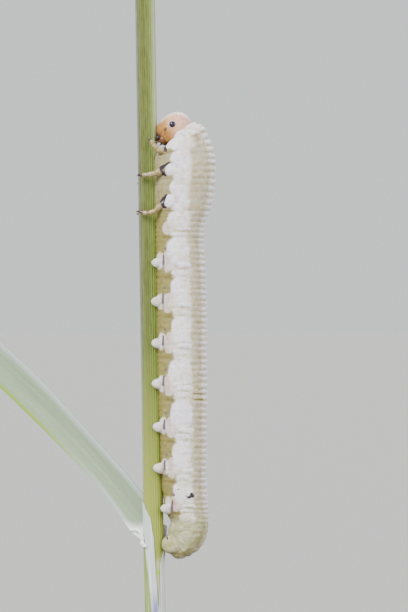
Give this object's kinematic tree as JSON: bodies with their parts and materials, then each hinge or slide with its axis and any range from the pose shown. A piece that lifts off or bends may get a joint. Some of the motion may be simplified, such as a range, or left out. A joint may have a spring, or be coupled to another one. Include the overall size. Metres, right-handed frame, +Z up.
{
  "type": "sawfly larva",
  "caption": "Life-size sawfly larva hanging upright along a cut grass stem with its leaf, on a small flat display stand",
  "frame": {"origin": "the middle of the stand's underside, on the surface the stand rests on", "axes": "+Z up along the stem towards the larva's head; +X from the stem to the larva's back; -Y to the larva's left side"},
  "size_m": [0.027, 0.019, 0.044],
  "materials": {
    "body_skin": "soft moist skin in fine folds, chalk white over yellow-green",
    "head_capsule": "smooth satin cuticle, amber face and pale pink crown",
    "eye_lens": "polished single lens, blue-black",
    "antenna_cuticle": "satin cuticle, brown",
    "mandible_cuticle": "hard dark brown cuticle",
    "leg_cuticle": "satin cuticle, pinkish beige with dark claws",
    "proleg_skin": "soft moist skin, chalk white",
    "grass_culm": "living grass stem with fine lengthwise ribs",
    "grass_sheath": "papery leaf sheath, pale green and whitish",
    "grass_leaf": "waxy grass blade, pale blue-green, lengthwise veins",
    "stand_wood": "oiled dark wood",
    "stand_steel": "drawn steel rod"
  },
  "bodies": {
    "root": {"prothorax": "body_skin", "mesothorax": "body_skin", "metathorax": "body_skin", "abdomen_1": "body_skin", "abdomen_2": "body_skin", "abdomen_3": "body_skin", "abdomen_4": "body_skin", "abdomen_5": "body_skin", "abdomen_6": "body_skin", "abdomen_7": "body_skin", "abdomen_8": "body_skin", "abdomen_9": "body_skin", "abdomen_10": "body_skin", "head": "head_capsule", "eye_left": "eye_lens", "antenna_left": "antenna_cuticle", "mandible_left": "mandible_cuticle", "eye_right": "eye_lens", "antenna_right": "antenna_cuticle", "mandible_right": "mandible_cuticle", "leg_front_left": "leg_cuticle", "leg_front_right": "leg_cuticle", "leg_middle_left": "leg_cuticle", "leg_middle_right": "leg_cuticle", "leg_hind_left": "leg_cuticle", "leg_hind_right": "leg_cuticle", "proleg_2_left": "proleg_skin", "proleg_2_right": "proleg_skin", "proleg_3_left": "proleg_skin", "proleg_3_right": "proleg_skin", "proleg_4_left": "proleg_skin", "proleg_4_right": "proleg_skin", "proleg_5_left": "proleg_skin", "proleg_5_right": "proleg_skin", "proleg_6_left": "proleg_skin", "proleg_6_right": "proleg_skin", "proleg_7_left": "proleg_skin", "proleg_7_right": "proleg_skin", "proleg_8_left": "proleg_skin", "proleg_8_right": "proleg_skin", "proleg_anal_left": "proleg_skin", "proleg_anal_right": "proleg_skin", "perch_stem": "grass_culm", "perch_sheath": "grass_sheath", "perch_leaf": "grass_leaf", "stand_base": "stand_wood", "stand_rod": "stand_steel"}
  },
  "joints": []
}
